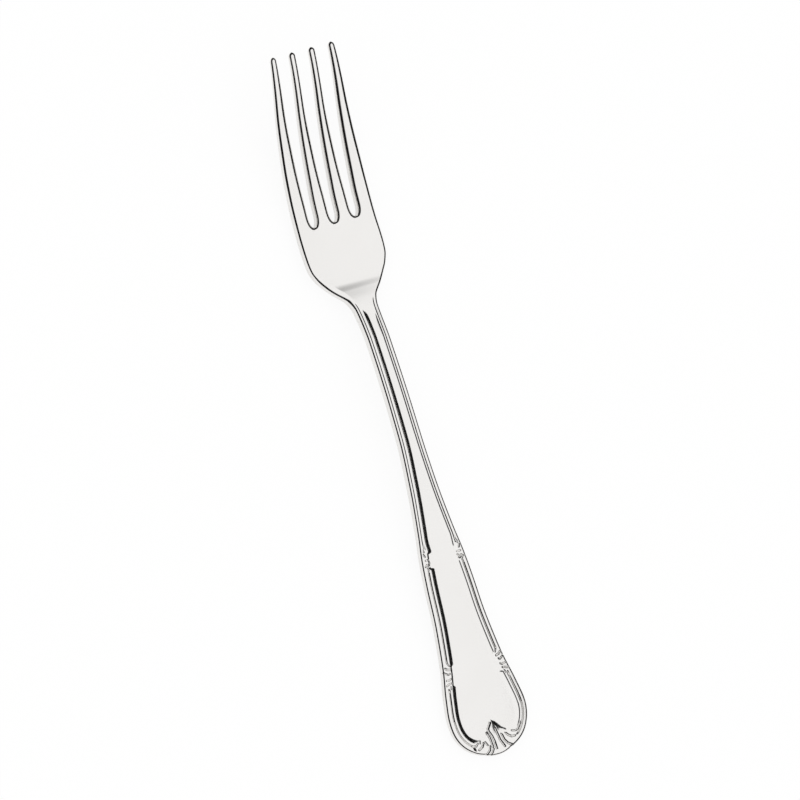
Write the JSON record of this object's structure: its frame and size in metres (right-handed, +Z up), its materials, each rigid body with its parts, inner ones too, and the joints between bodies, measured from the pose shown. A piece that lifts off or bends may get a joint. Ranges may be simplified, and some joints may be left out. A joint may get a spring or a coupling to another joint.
{
  "type": "dinner fork",
  "caption": "Table fork of polished metal with long tapering tines, a shouldered head, an arched stem and a fiddle-shaped handle with a double thread border, scrolls and a shell.",
  "frame": {"origin": "middle of the footprint, on the table plane, with the fork lying face up", "axes": "+X across the fork to its right, +Y along the fork towards the tips of the tines, +Z up, away from the table"},
  "size_m": [0.0258, 0.205, 0.0141],
  "materials": {
    "polished_steel": "stainless steel polished to a mirror all over, with the brightness a little softened by use"
  },
  "bodies": {
    "root": {"tine_outer_left": "polished_steel", "tine_inner_left": "polished_steel", "tine_inner_right": "polished_steel", "tine_outer_right": "polished_steel", "root_plate": "polished_steel", "neck": "polished_steel", "stem": "polished_steel", "handle": "polished_steel", "handle_end": "polished_steel"}
  },
  "joints": []
}
